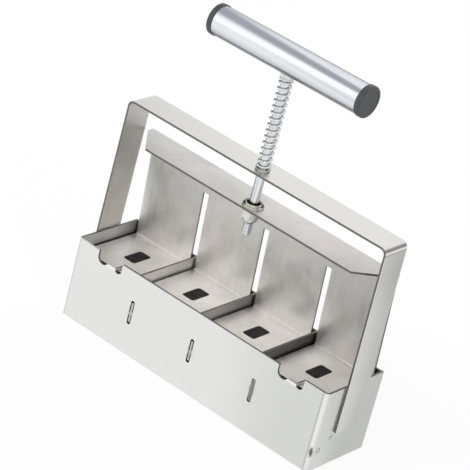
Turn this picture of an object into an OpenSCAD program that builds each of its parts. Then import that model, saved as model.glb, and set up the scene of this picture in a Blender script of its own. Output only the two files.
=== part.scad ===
// Hand soil blocker with one row of four cells.
// The origin is the centre of the open base, Z points up, X runs along the row and the front is at -Y.

/* [Mould box] */
// Length of one middle cell, between its dividers
cell_l = 50.5; // [40:0.5:60]
// Length of one end cell, from divider to end wall
end_cell_l = 52.3; // [42:0.1:64]
// Depth of the cells, from front wall to rear wall
cell_d = 54; // [48:0.5:66]
// Height of the box
box_h = 56.5; // [50:0.5:70]
// Thickness of the box walls
wall_t = 1.5; // [1:0.1:2]
// Thickness of the dividers
divider_t = 1.5; // [1:0.1:2]
// Outside radius of the two front corner bends
corner_r = 3; // [2.2:0.1:6]

/* [Front cut-outs] */
// Distance of each cut-out's middle from the box's middle
notch_x = 77.2; // [70:0.2:84]
// Width of each cut-out in the front wall's top edge
notch_w = 21; // [19:0.5:26]
// Height of a stop tab's top face below the top edge
tab_drop = 5.7; // [4:0.1:8]
// Width of the stop tab between its two reliefs
tab_w = 5.6; // [5:0.1:10]
// How far each tab sits to the right of its cut-out's middle
tab_shift = 1.5; // [0:0.1:2]
// How far a stop tab reaches in from the wall
tab_reach = 9; // [3:0.1:10]
// Outside radius of the stop tab's fold
fold_r = 2.4; // [2:0.1:3]
// Height of the slots in which the divider tabs are welded
weld_slot_h = 17; // [10:0.5:24]
// Height of those slots' centre above the base
weld_slot_z = 29; // [20:0.5:34]
// Width of those slots
weld_slot_w = 3; // [2.1:0.1:3.4]

/* [Bail] */
// Height of the bail's top face above the base
bail_h = 153.3; // [140:0.5:170]
// Width of the strap
bail_w = 22; // [18:0.5:30]
// Place of the strap's middle, front to rear
bail_y = 1; // [-2:0.5:2]
// Thickness of the strap
bail_t = 1.5; // [1.2:0.1:2.5]
// Outside radius of the strap's two top bends
bail_r = 4.5; // [3.5:0.1:8]
// How far each leg leans in at the top
bail_lean = 1.5; // [0.5:0.1:3]
// Height of the feet's lower ends above the base
foot_z = 23.3; // [10:0.1:36]
// How much narrower the foot is than the strap
foot_step = 2.6; // [1:0.1:6]
// Radius of the foot's lower rear corner
foot_r = 5; // [2:0.5:8]
// Radius of the foot's lower front corner
foot_front_r = 1; // [0.5:0.1:2]

/* [Press sheet] */
// Thickness of the press sheet
press_t = 1.5; // [1.2:0.1:2]
// Inside radius of the press sheet's bends
press_r = 1; // [0.6:0.1:4]
// Clear gap between the plates' front edge and the front wall
plate_gap_front = 1.2; // [0.6:0.1:2]
// Clear gap between the bend and the rear wall
plate_gap_rear = 0.4; // [0.4:0.1:1.5]
// Clear gap between the end plates and the end walls
plate_gap_end = 3.2; // [1:0.1:4]
// Width of the slots that straddle the dividers
slot_w = 4.7; // [4:0.1:6]
// Depth of the flange's top face below the bail's top face
flange_drop = 25.7; // [16:0.2:30]
// Depth of the slots' upper ends below the flange's top face
slot_drop = 22.5; // [18:0.5:25]
// Depth of the flange, from its rear bend to its front edge
flange_d = 29.3; // [24:0.1:32]
// How far the web leans forward over its height, in degrees
web_lean = 4.8; // [0:0.1:7]
// How far the flange reaches past the web at each end
flange_over = 1.8; // [0:0.1:2.5]
// Length cut from each front corner of the flange
chamfer_l = 18; // [8:0.5:22]
// Depth cut from each front corner of the flange
chamfer_d = 22.5; // [8:0.5:24]
// Clear gap at rest between the plates and the stop tabs
stop_gap = 0.3; // [0.2:0.05:0.6]

/* [Seed pegs] */
// Length of the peg hole in a plate, front to rear
peg_hole_l = 17.6; // [12:0.2:20]
// Width of the peg hole, along the row
peg_hole_w = 9.8; // [8:0.2:12]
// Corner radius of the peg hole
peg_hole_r = 2; // [1:0.1:3]
// Diameter of the peg at its root
peg_root = 9; // [6:0.5:12]
// Diameter of the peg at its tip
peg_tip = 6; // [4:0.5:8]
// Length of the peg below its base
peg_len = 12; // [8:0.5:20]
// Thickness of the peg's base
peg_base_t = 1.5; // [1:0.1:3]
// How far the base is wider than the hole, on each side
peg_lip = 2.4; // [1.5:0.1:4]

/* [Rod and nuts] */
// Diameter of the plunger rod
rod_d = 6; // [5:0.1:7]
// Place of the rod, front to rear
rod_y = -1.5; // [-3:0.1:3]
// How far the rod reaches below the flange's top face
rod_below = 20; // [12:0.5:26]
// Diameter of the collar on the flange
collar_d = 14; // [12:0.5:18]
// Height of the collar on the flange
collar_h = 2.6; // [2:0.1:5]
// Diameter of the collar's countersink
collar_sink_d = 8.8; // [8:0.1:10]
// Chamfer on the collar's upper edge
collar_edge = 0.4; // [0.2:0.1:0.8]
// Outside diameter of the flat washer
washer_d = 13; // [12.5:0.1:16]
// Thickness of the flat washer
washer_t = 1.2; // [0.8:0.1:2]
// Width across the flats of the lock nut
nut_af = 10; // [9.5:0.1:12]
// Height of the lock nut's hexagon
nut_hex_h = 5.6; // [4:0.1:7]
// Height of the lock nut's round end
nut_ring_h = 2.2; // [1:0.1:3]
// Diameter of the lock nut's round end
nut_ring_d = 8.6; // [8:0.1:9.4]

/* [Spring and bush] */
// Diameter of the spring wire
wire_d = 1.1; // [0.9:0.05:1.2]
// Outside diameter of the spring
spring_od = 9.2; // [9:0.1:11]
// Number of open turns
open_turns = 14; // [10:1:16]
// Rise of the close turn at each end
close_pitch = 1.6; // [1.6:0.1:2]
// Diameter of the bush's flange
bush_flange_d = 9.8; // [9.6:0.1:16]
// Thickness of the bush's flange
bush_flange_t = 1.2; // [0.8:0.1:3]
// Outside diameter of the bush's sleeve
bush_d = 8; // [7.8:0.1:10]
// How far the sleeve reaches below the strap
bush_below = 1.2; // [0.5:0.1:3]

/* [Grip] */
// Outside diameter of the grip tube
tube_d = 20; // [16:0.5:26]
// Wall of the grip tube
tube_t = 1.5; // [1:0.1:2.5]
// Length of the grip over its two caps
grip_l = 123; // [100:1:150]
// Height of the tube's axis above the bail's top face, with the press up
grip_rise = 75.5; // [66:0.2:90]
// Outside diameter of the caps
cap_d = 21; // [20.6:0.1:28]
// Length of a cap outside the tube
cap_l = 4; // [3:0.5:8]
// Length of a cap's plug inside the tube
cap_plug_l = 9; // [5:0.5:15]
// Chamfer on the cap's outer edge
cap_edge = 0.8; // [0.3:0.1:1.5]
// Diameter of the collar under the grip
neck_d = 9.4; // [9.2:0.1:12]
// Height of the collar under the tube's lowest line
neck_h = 1.8; // [1.5:0.1:5]

/* [Hidden] */

// Roundness of the true arcs
fine = 64;
// Overrun of every cut past the face that it opens
over = 1;
// Radial clearance of the rod in its bush, a running fit
run_gap = 0.05;
// Clearance of pieces that are held in one another and do not move
fit_gap = 0.1;
// Chamfer on the rod's lower end
rod_edge = 0.6;

// Box: faces and places along the row
inner_l = 2 * cell_l + 2 * end_cell_l + 3 * divider_t;
box_l = inner_l + 2 * wall_t;
box_d = cell_d + 2 * wall_t;
pitch = cell_l + divider_t;
divider_xs = [-pitch, 0, pitch];
plate_end = inner_l / 2 - plate_gap_end;
flange_end = plate_end + flange_over;
// Middle of each press plate along the row
plate_xs = [for (k = [-1, 1]) (k * (plate_end + pitch + slot_w / 2)) / 2];
peg_xs = [plate_xs[0], -pitch / 2, pitch / 2, plate_xs[1]];

// Stop tabs: their faces, and the plates' top face just under them at rest
tab_top = box_h - tab_drop;
tab_low = tab_top - wall_t;
plate_top = tab_low - stop_gap;
plate_low = plate_top - press_t;
relief_w = (notch_w - tab_w) / 2;
// Each relief as its side of the tab and its width
reliefs = [[-1, relief_w + tab_shift], [1, relief_w - tab_shift]];
fold_low = tab_top - fold_r;

// Heights that follow from the bail's
flange_z = bail_h - flange_drop;
slot_top = flange_z - slot_drop;
rod_bottom = flange_z - rod_below;
grip_z = bail_h + grip_rise;

// Press sheet's section, as [y, z]: bend centres and the web between them
sheet_ro = press_r + press_t;
low_bend = [cell_d / 2 - plate_gap_rear - sheet_ro, plate_top + press_r];
web_run = (flange_z - sheet_ro - low_bend[1]) / cos(web_lean);
high_bend = low_bend + web_run * [-sin(web_lean), cos(web_lean)];
lean_out = [cos(web_lean), sin(web_lean)];
plate_front = -cell_d / 2 + plate_gap_front;
flange_front = high_bend[0] + sheet_ro - flange_d;

// Rod, spring and grip: heights of the faces that they meet
tube_low = grip_z - tube_d / 2;
spring_low = bail_h + bush_flange_t;
spring_high = tube_low - neck_h;
tube_bore = tube_d - 2 * tube_t;
rod_top = grip_z + sqrt(pow(tube_bore / 2, 2) - pow(rod_d / 2, 2)) - fit_gap;

// Bail: outer half length at the feet, where the legs start to lean, and the centre of the bend
foot_x = box_l / 2 + bail_t;
lean_z = box_h + wall_t;
bend_x = foot_x - bail_lean - bail_r;
bend_z = bail_h - bail_r;
leg_run = bend_z - lean_z;
leg_lean = acos(bail_r / norm([bail_lean + bail_r, leg_run])) - atan2(leg_run, bail_lean + bail_r);

// Rectangle with rounded corners, centred
module rounded_rect(w, l, r) {
    square([w - 2 * r, l], center = true);
    square([w, l - 2 * r], center = true);
    for (x = [-1, 1], y = [-1, 1])
        translate([x * (w / 2 - r), y * (l / 2 - r)])
            circle(r = r, $fn = fine);
}

// Part of a ring from angle a0 to angle a1, less than 180 degrees apart
module ring_sector(r_in, r_out, a0, a1) {
    mid = (a0 + a1) / 2;
    reach = 2 * r_out;
    intersection() {
        difference() {
            circle(r = r_out, $fn = fine);
            circle(r = r_in, $fn = fine);
        }
        polygon([[0, 0], reach * [cos(a0), sin(a0)], reach * [cos(mid), sin(mid)], reach * [cos(a1), sin(a1)]]);
    }
}

// Lays a section drawn as [y, z] along the row, over the whole width w
module along_row(w) {
    rotate([90, 0, 90])
        linear_extrude(height = w, center = true)
            children();
}

// Box walls
module wrap_section() {
    flat_d = box_d - corner_r;
    translate([-(box_l / 2 - corner_r), -box_d / 2])
        square([box_l - 2 * corner_r, wall_t]);
    for (side = [-1, 1]) {
        translate([side * (box_l / 2 - wall_t / 2), -box_d / 2 + corner_r + flat_d / 2])
            square([wall_t, flat_d], center = true);
        translate([side * (box_l / 2 - corner_r), -box_d / 2 + corner_r])
            rotate(side > 0 ? 0 : -90)
                ring_sector(corner_r - wall_t, corner_r, -90, 0);
    }
}

// Rounded relief beside a stop tab, seen from the front, with its lower end at the start of the fold
module relief_outline(width) {
    translate([0, fold_low + width / 2])
        circle(d = width, $fn = fine);
    translate([-width / 2, fold_low + width / 2])
        square([width, tab_drop + over]);
}

// Upright slot for a divider's tab, seen from the front
module weld_slot_outline() {
    slot_r = weld_slot_w / 2 - fit_gap;
    translate([0, weld_slot_z])
        rounded_rect(weld_slot_w, weld_slot_h, slot_r);
}

// Carries an outline, drawn as [x, z], from the plane y0 back to the plane y1
module through(y0, y1) {
    translate([0, y1, 0])
        rotate([90, 0, 0])
            linear_extrude(height = y1 - y0)
                children();
}

module mould_wrap() {
    front = -box_d / 2;
    back = front + wall_t;
    color([0.80, 0.80, 0.79])
        difference() {
            union() {
                difference() {
                    linear_extrude(height = box_h)
                        wrap_section();
                    for (side = [-1, 1])
                        translate([side * notch_x + tab_shift / 2, 0, fold_low + (tab_drop + fold_r + over) / 2])
                            translate([0, front + wall_t / 2, 0])
                                cube([notch_w - relief_w, wall_t + 2 * over, tab_drop + fold_r + over], center = true);
                }
                for (side = [-1, 1])
                    translate([side * notch_x + tab_shift / 2, 0, 0])
                        stop_tab();
            }
            for (side = [-1, 1], relief = reliefs)
                through(front - over, back + tab_reach + over)
                    translate([side * notch_x + relief[0] * (notch_w - relief[1]) / 2, 0])
                        relief_outline(relief[1]);
            for (x = divider_xs)
                through(front - over, back + over)
                    translate([x, 0])
                        weld_slot_outline();
        }
}

// Tab folded in from the front wall, over a plate's front edge
module stop_tab() {
    along_row(notch_w - relief_w) {
        translate([-box_d / 2 + fold_r, fold_low])
            ring_sector(fold_r - wall_t, fold_r, 90, 180);
        translate([-box_d / 2 + fold_r, tab_low])
            square([wall_t + tab_reach - fold_r, wall_t]);
    }
}

module rear_wall() {
    color([0.74, 0.74, 0.73])
        difference() {
            translate([-inner_l / 2, cell_d / 2, 0])
                cube([inner_l, wall_t, box_h]);
            for (x = divider_xs)
                through(cell_d / 2 - over, box_d / 2 + over)
                    translate([x, 0])
                        weld_slot_outline();
        }
}

// Upright sheet across the box, with a tab in the front wall and one in the rear wall
module divider(x) {
    color([0.70, 0.70, 0.68]) {
        translate([x - divider_t / 2, -cell_d / 2, 0])
            cube([divider_t, cell_d, box_h]);
        translate([x - divider_t / 2, -box_d / 2, weld_slot_z - weld_slot_h / 2 + weld_slot_w / 2])
            cube([divider_t, box_d, weld_slot_h - weld_slot_w]);
    }
}

module divider_left() {
    divider(divider_xs[0]);
}

module divider_middle() {
    divider(divider_xs[1]);
}

module divider_right() {
    divider(divider_xs[2]);
}

// One side of the bail's strap, drawn as [x, z], filled in below: its bend radius, half length and lower end
module bail_outline(r, half_l, low) {
    kink_z = lean_z - (bail_r - r) * tan(leg_lean / 2);
    out = r * [cos(leg_lean), sin(leg_lean)];
    polygon([[-half_l, low], [half_l, low], [half_l, kink_z], [bend_x, bend_z] + out, [bend_x, bend_z + r],
             [-bend_x, bend_z + r], [-bend_x - out[0], bend_z + out[1]], [-half_l, kink_z]]);
    for (side = [-1, 1])
        translate([side * bend_x, bend_z])
            circle(r = r, $fn = fine);
}

// Side view of the bail, drawn as [y, z]: full strap above the box, narrower at the rear below its edge
module foot_outline() {
    foot_w = bail_w - foot_step;
    front_y = bail_y - bail_w / 2;
    translate([front_y, box_h])
        square([bail_w, bail_h - box_h + over]);
    translate([front_y, foot_z + foot_r])
        square([foot_w, box_h - foot_z]);
    translate([front_y, foot_z + foot_front_r])
        square([foot_w - foot_r, foot_r]);
    translate([front_y + foot_front_r, foot_z])
        square([foot_w - foot_front_r - foot_r, foot_r]);
    translate([front_y + foot_front_r, foot_z + foot_front_r])
        circle(r = foot_front_r, $fn = fine);
    translate([front_y + foot_w - foot_r, foot_z + foot_r])
        circle(r = foot_r, $fn = fine);
}

module bail_handle() {
    color([0.84, 0.83, 0.80])
        difference() {
            intersection() {
                translate([0, bail_y, 0])
                    rotate([90, 0, 0])
                        linear_extrude(height = bail_w, center = true)
                            difference() {
                                bail_outline(bail_r, foot_x, foot_z);
                                bail_outline(bail_r - bail_t, foot_x - bail_t, foot_z - over);
                            }
                along_row(2 * (foot_x + over))
                    foot_outline();
            }
            translate([0, rod_y, bail_h - bail_t - over])
                cylinder(d = bush_d + 2 * fit_gap, h = bail_t + 2 * over, $fn = fine);
        }
}

// Plated guide bush in the bail, which carries the spring's foot
module bail_bush() {
    color([0.64, 0.63, 0.55])
        translate([0, rod_y, 0])
            difference() {
                union() {
                    translate([0, 0, bail_h])
                        cylinder(d = bush_flange_d, h = bush_flange_t, $fn = fine);
                    translate([0, 0, bail_h - bail_t - bush_below])
                        cylinder(d = bush_d, h = bail_t + bush_below, $fn = fine);
                }
                translate([0, 0, bail_h - bail_t - bush_below - over])
                    cylinder(d = rod_d + 2 * run_gap, h = bail_t + bush_below + bush_flange_t + 2 * over, $fn = fine);
            }
}

// One side of the press sheet, drawn as [y, z], filled in at the front: its bend radius and front limits
module press_outline(r, low_front, high_front) {
    mid_z = (plate_top + flange_z) / 2;
    polygon([[low_front, low_bend[1] - r], low_bend - [0, r], low_bend + r * lean_out, high_bend + r * lean_out,
             high_bend + [0, r], [high_front, high_bend[1] + r], [high_front, mid_z], [low_front, mid_z]]);
    for (bend = [low_bend, high_bend])
        translate(bend)
            circle(r = r, $fn = fine);
}

module press_sheet() {
    color([0.72, 0.71, 0.69])
        difference() {
            along_row(2 * flange_end)
                difference() {
                    press_outline(sheet_ro, plate_front, flange_front);
                    press_outline(press_r, -box_d, -box_d);
                }
            for (side = [-1, 1])
                below_flange_end(side);
            for (x = divider_xs)
                translate([x - slot_w / 2, -cell_d / 2, plate_low - over])
                    cube([slot_w, cell_d, slot_top - plate_low + over]);
            for (side = [-1, 1])
                flange_chamfer(side);
            for (x = peg_xs)
                translate([x, 0, plate_low - over])
                    linear_extrude(height = press_t + 2 * over)
                        rounded_rect(peg_hole_w, peg_hole_l, peg_hole_r);
            translate([0, rod_y, flange_z - press_t - over])
                cylinder(d = rod_d + 2 * fit_gap, h = press_t + 2 * over, $fn = fine);
        }
}

// Cut that makes the web and the plates shorter than the flange
module below_flange_end(side) {
    cut_x = side * (plate_end + (flange_over + over) / 2);
    cut_w = flange_over + over;
    cut_top = flange_z - sheet_ro;
    translate([cut_x, 0, (plate_low - over + cut_top) / 2])
        cube([cut_w, box_d, cut_top - plate_low + over], center = true);
    // Relief that keeps the top bend as short as the web
    translate([cut_x, flange_front + flange_d, flange_z - sheet_ro / 2])
        cube([cut_w, 2 * sheet_ro, sheet_ro + 2 * over], center = true);
}

// Corner cut from the flange's front
module flange_chamfer(side) {
    cut_l = chamfer_l + over * chamfer_l / chamfer_d;
    translate([side * flange_end, flange_front - over, flange_z - press_t - over])
        linear_extrude(height = press_t + 2 * over)
            polygon([[0, 0], [-side * cut_l, 0], [0, chamfer_d + over], [side * over, chamfer_d + over], [side * over, 0]]);
}

// Round collar on the flange, countersunk round the rod
module upper_collar() {
    color([0.66, 0.65, 0.56])
        translate([0, rod_y, flange_z])
            rotate_extrude($fn = fine)
                polygon([[rod_d / 2 + run_gap, 0], [collar_d / 2, 0], [collar_d / 2, collar_h - collar_edge],
                         [collar_d / 2 - collar_edge, collar_h], [collar_sink_d / 2, collar_h],
                         [rod_d / 2 + run_gap, collar_h - (collar_sink_d - rod_d) / 2]]);
}

module flat_washer() {
    color([0.70, 0.70, 0.66])
        translate([0, rod_y, flange_z - press_t - washer_t])
            difference() {
                cylinder(d = washer_d, h = washer_t, $fn = fine);
                translate([0, 0, -over])
                    cylinder(d = rod_d + 2 * fit_gap, h = washer_t + 2 * over, $fn = fine);
            }
}

// Hexagon nut with a round locking end, upside down under the flange
module lock_nut() {
    nut_top = flange_z - press_t - washer_t;
    color([0.64, 0.63, 0.54])
        translate([0, rod_y, nut_top])
            difference() {
                union() {
                    translate([0, 0, -nut_hex_h])
                        cylinder(d = nut_af / cos(30), h = nut_hex_h, $fn = 6);
                    translate([0, 0, -nut_hex_h - nut_ring_h])
                        cylinder(d = nut_ring_d, h = nut_ring_h + nut_hex_h / 2, $fn = fine);
                }
                translate([0, 0, -nut_hex_h - nut_ring_h - over])
                    cylinder(d = rod_d + 2 * run_gap, h = nut_hex_h + nut_ring_h + 2 * over, $fn = fine);
            }
}

module plunger_rod() {
    color([0.75, 0.77, 0.79])
        translate([0, rod_y, rod_bottom]) {
            cylinder(d1 = rod_d - 2 * rod_edge, d2 = rod_d, h = rod_edge, $fn = fine);
            translate([0, 0, rod_edge])
                cylinder(d = rod_d, h = rod_top - rod_bottom - rod_edge, $fn = fine);
        }
}

// Collar under the grip, saddled to the tube
module rod_collar() {
    color([0.62, 0.64, 0.65])
        difference() {
            translate([0, rod_y, spring_high])
                cylinder(d = neck_d, h = neck_h + tube_t, $fn = fine);
            translate([0, rod_y, grip_z])
                rotate([0, 90, 0])
                    cylinder(d = tube_d, h = grip_l, center = true, $fn = fine);
            translate([0, rod_y, spring_high - over])
                cylinder(d = rod_d + 2 * fit_gap, h = neck_h + tube_t + 2 * over, $fn = fine);
        }
}

module grip_tube() {
    color([0.78, 0.80, 0.84])
        translate([0, rod_y, grip_z])
            difference() {
                rotate([0, 90, 0])
                    difference() {
                        cylinder(d = tube_d, h = grip_l - 2 * cap_l, center = true, $fn = fine);
                        cylinder(d = tube_bore, h = grip_l, center = true, $fn = fine);
                    }
                translate([0, 0, -tube_d / 2 - over])
                    cylinder(d = rod_d + 2 * fit_gap, h = tube_d / 2, $fn = fine);
            }
}

// Plastic cap: a rim outside the tube and a plug inside it, opening from the tube's end towards +X
module grip_cap(side) {
    plug_r = tube_bore / 2 - fit_gap;
    color([0.20, 0.20, 0.21])
        translate([side * (grip_l / 2 - cap_l), rod_y, grip_z])
            rotate([0, side * 90, 0])
                rotate_extrude($fn = fine)
                    polygon([[0, 0], [plug_r - tube_t, 0], [plug_r - tube_t, -cap_plug_l], [plug_r, -cap_plug_l],
                             [plug_r, 0], [cap_d / 2, 0], [cap_d / 2, cap_l - cap_edge],
                             [cap_d / 2 - cap_edge, cap_l], [0, cap_l]]);
}

module grip_cap_left() {
    grip_cap(-1);
}

module grip_cap_right() {
    grip_cap(1);
}

// Peg with an oblong head in the plate's hole, a base under the plate and a tapered dibble
module seed_peg(x) {
    color([0.11, 0.11, 0.10])
        translate([x, 0, 0]) {
            translate([0, 0, plate_low])
                linear_extrude(height = press_t - fit_gap)
                    rounded_rect(peg_hole_w - 2 * fit_gap, peg_hole_l - 2 * fit_gap, peg_hole_r - fit_gap);
            translate([0, 0, plate_low - peg_base_t])
                linear_extrude(height = peg_base_t)
                    rounded_rect(peg_hole_w + 2 * peg_lip, peg_hole_l + 2 * peg_lip, peg_hole_r + peg_lip);
            peg_cone_h = peg_len - peg_tip / 2;
            translate([0, 0, plate_low - peg_base_t - peg_cone_h])
                cylinder(d1 = peg_tip, d2 = peg_root, h = peg_cone_h, $fn = fine);
            translate([0, 0, plate_low - peg_base_t - peg_cone_h])
                sphere(d = peg_tip, $fn = fine);
        }
}

module seed_peg_1() {
    seed_peg(peg_xs[0]);
}

module seed_peg_2() {
    seed_peg(peg_xs[1]);
}

module seed_peg_3() {
    seed_peg(peg_xs[2]);
}

module seed_peg_4() {
    seed_peg(peg_xs[3]);
}

// Spring: rings on its path for each turn, and sides of the wire
turn_rings = 8;
wire_sides = 6;
coil_r = (spring_od - wire_d) / 2;
coil_low = spring_low + wire_d;
coil_high = spring_high - wire_d;
open_pitch = (coil_high - coil_low - 2 * close_pitch) / open_turns;
turns = open_turns + 2;
coil_steps = turns * turn_rings;

// Height of the wire's middle after t turns: one close turn, the open turns, one close turn
function coil_z(t) = coil_low + close_pitch * min(t, 1) + open_pitch * max(0, min(t - 1, open_turns))
    + close_pitch * max(0, t - 1 - open_turns);
function coil_point(t) = [coil_r * cos(360 * t), coil_r * sin(360 * t) + rod_y, coil_z(t)];

// Path of the wire's middle, with a straight end one wire thick at each seat
coil_path = concat([[coil_r, rod_y, spring_low]],
                   [for (i = [0:coil_steps]) coil_point(i / turn_rings)],
                   [[coil_r, rod_y, spring_high]]);
path_n = len(coil_path);

function unit(v) = v / norm(v);
function path_dir(i) = i == 0 || i == path_n - 1 ? [0, 0, 1]
    : unit(unit(coil_path[i + 1] - coil_path[i]) + unit(coil_path[i] - coil_path[i - 1]));
// Outward direction from the spring's axis at a path point
function path_out(i) = unit([coil_path[i][0], coil_path[i][1] - rod_y, 0]);
// Half the wire's thickness, widened on a corner so that the wire keeps its thickness
function corner_stretch(i) = i == 1 || i == path_n - 2 ? sqrt(2) : 1;
function wire_ring(i) = let (d = path_dir(i), u = path_out(i), v = cross(d, u))
    [for (k = [0:wire_sides - 1]) coil_path[i]
        + wire_d / 2 * (cos(360 * k / wire_sides) * u + corner_stretch(i) * sin(360 * k / wire_sides) * v)];
wire_points = [for (i = [0:path_n - 1]) each wire_ring(i)];
function wire_at(i, k) = i * wire_sides + k % wire_sides;
wire_faces = concat([for (k = [1:wire_sides - 2]) [0, k, k + 1]],
                    [for (i = [0:path_n - 2], k = [0:wire_sides - 1])
                        each [[wire_at(i, k), wire_at(i + 1, k), wire_at(i + 1, k + 1)],
                              [wire_at(i, k), wire_at(i + 1, k + 1), wire_at(i, k + 1)]]],
                    [for (k = [1:wire_sides - 2])
                        [wire_at(path_n - 1, 0), wire_at(path_n - 1, k + 1), wire_at(path_n - 1, k)]]);

// Least distance between the wire's surface on one turn and on the next
gaps = [for (i = [1:path_n - 2 - turn_rings], k = [turn_rings - 2:turn_rings + 2])
    if (i + k < path_n - 1) norm(coil_path[i + k] - coil_path[i]) - wire_d];
echo(least_spring_gap = min(gaps));

module return_spring() {
    color([0.80, 0.81, 0.82])
        polyhedron(points = wire_points, faces = wire_faces, convexity = 10);
}

mould_wrap();
rear_wall();
divider_left();
divider_middle();
divider_right();
bail_handle();
bail_bush();
press_sheet();
upper_collar();
flat_washer();
lock_nut();
plunger_rod();
rod_collar();
return_spring();
grip_tube();
grip_cap_left();
grip_cap_right();
seed_peg_1();
seed_peg_2();
seed_peg_3();
seed_peg_4();
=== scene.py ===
"""Looks of the hand soil blocker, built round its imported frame. Lengths are in metres."""
import math
from collections import namedtuple

import bmesh
import bpy
from bpy.props import FloatProperty, FloatVectorProperty, IntProperty, PointerProperty
from mathutils import Matrix, Vector, noise
from mathutils.bvhtree import BVHTree
from mathutils.geometry import area_tri, tessellate_polygon


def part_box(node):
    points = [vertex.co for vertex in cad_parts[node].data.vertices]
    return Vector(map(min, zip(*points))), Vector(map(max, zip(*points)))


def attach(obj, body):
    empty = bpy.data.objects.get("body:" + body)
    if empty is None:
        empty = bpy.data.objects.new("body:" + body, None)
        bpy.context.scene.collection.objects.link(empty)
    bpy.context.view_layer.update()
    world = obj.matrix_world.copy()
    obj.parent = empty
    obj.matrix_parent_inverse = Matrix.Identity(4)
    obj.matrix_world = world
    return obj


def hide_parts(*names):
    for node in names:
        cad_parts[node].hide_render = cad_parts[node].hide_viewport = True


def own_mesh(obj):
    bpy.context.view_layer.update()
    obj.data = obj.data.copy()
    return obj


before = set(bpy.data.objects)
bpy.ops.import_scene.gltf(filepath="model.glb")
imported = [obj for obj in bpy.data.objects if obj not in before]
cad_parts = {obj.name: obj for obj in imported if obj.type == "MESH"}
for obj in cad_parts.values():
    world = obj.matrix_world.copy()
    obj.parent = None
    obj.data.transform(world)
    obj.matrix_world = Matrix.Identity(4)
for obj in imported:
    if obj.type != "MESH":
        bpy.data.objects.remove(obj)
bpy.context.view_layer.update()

bl_info = {
    "name": "Soil Blocker Dressing",
    "version": (1, 0, 0),
    "blender": (4, 5, 0),
    "location": "View3D > Sidebar > Soil Blocker",
    "description": "Dresses the packed hand soil blocker with sheet edges, welds, threads, a wound spring and finishes",
    "category": "Object",
}

MM = 0.001

DIVIDERS = ("divider_left", "divider_middle", "divider_right")
SHEET = 1.5 * MM       # thickness of every sheet
SLOT_Z = 29 * MM       # height of the middle of the weld slots
SPOT = (6.3 * MM, 14.2 * MM)    # spot weld on the right end wall: behind the front face, and height
POLE = 1e-7            # radius under which a turned profile closes on its axis
BUMP_DEPTH = 0.02 * MM
STRAW = (0.62, 0.55, 0.44)
BURN = (0.13, 0.10, 0.075)
WHITE = (1.0, 1.0, 1.0)


# ---------------------------------------------------------------- sizes read from the frame

def node_box(node):
    """Lowest and highest corner of a CAD node at rest."""
    low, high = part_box(node)
    return Vector(low), Vector(high)


def node_middle(node):
    """Middle of a CAD node's box."""
    low, high = node_box(node)
    return (low + high) / 2


def node_size(node):
    """Size of a CAD node's box."""
    low, high = node_box(node)
    return high - low


# ---------------------------------------------------------------- settings that a user would change

def length_setting(name, text, default, low, high):
    """Length that a user may change, given here in millimetres."""
    return FloatProperty(name=name, description=text, default=default * MM, min=low * MM, max=high * MM,
                         unit="LENGTH", precision=5)


def color_setting(name, text, default):
    """Colour that a user may change."""
    return FloatVectorProperty(name=name, description=text, default=default, min=0, max=1, size=3, subtype="COLOR")


class SheetSettings(bpy.types.PropertyGroup):
    edge_round: length_setting("Edge rounding", "Rounding on the sheared edges of the sheets", 0.16, 0.02, 0.4)
    wall_color: color_setting("Wall steel", "Colour of the box walls", (0.80, 0.80, 0.785))
    inner_color: color_setting("Inner steel", "Colour of the duller inner faces of the box", (0.66, 0.65, 0.63))
    bail_color: color_setting("Bail steel", "Colour of the bail strap", (0.775, 0.762, 0.735))
    press_color: color_setting("Press steel", "Colour of the press sheet", (0.675, 0.663, 0.638))
    edge_color: color_setting("Sheared edge", "Colour of the sheared sheet edges", (0.185, 0.175, 0.16))


class WeldSettings(bpy.types.PropertyGroup):
    bead_length: length_setting("Bead length", "Height of the beads in the left and middle divider slots", 3.4, 1, 6)
    bead_stand: length_setting("Bead stand", "How far a bead stands out of the wall", 0.28, 0.05, 0.8)
    bead_color: color_setting("Weld bead", "Colour of the weld beads", (0.50, 0.487, 0.455))


class FastenerSettings(bpy.types.PropertyGroup):
    thread_pitch: length_setting("Thread pitch", "Pitch of the thread on the rod's lower end", 1.0, 0.5, 1.5)
    thread_depth: length_setting("Thread depth", "Depth of that thread", 0.42, 0.1, 0.7)
    hex_height: length_setting("Hexagon height", "Height of the lock nut's hexagon", 5.6, 4, 7)
    plating_color: color_setting("Nickel plating", "Colour of the collar and the washer", (0.66, 0.655, 0.585))
    rod_color: color_setting("Rod zinc", "Colour of the zinc-plated rod", (0.76, 0.785, 0.81))


class SpringSettings(bpy.types.PropertyGroup):
    turns: IntProperty(name="Turns", description="Turns of the return spring, closed ends included",
                       default=16, min=12, max=18)
    wire: length_setting("Wire", "Thickness of the spring wire", 1.1, 0.9, 1.2)
    closed_pitch: length_setting("Closed pitch", "Rise of the closed turn at each end", 1.6, 1.1, 2)
    pressed_length: length_setting("Pressed length", "Length of the spring with the press down", 18.5, 17, 30)
    wire_color: color_setting("Spring wire", "Colour of the spring wire", (0.88, 0.89, 0.90))


class GripSettings(bpy.types.PropertyGroup):
    tube_wall: length_setting("Tube wall", "Wall of the grip tube", 1.5, 1, 2.5)
    cap_round: length_setting("Cap rounding", "Rounding on the outer edge of the caps", 0.9, 0.2, 1.5)
    tube_color: color_setting("Tube", "Colour of the polished tube", (0.80, 0.825, 0.86))
    cap_color: color_setting("Cap plastic", "Colour of the end caps", (0.046, 0.048, 0.052))
    black_color: color_setting("Black plastic", "Colour of the seed pegs and of the nut's insert",
                               (0.009, 0.008, 0.007))


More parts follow.
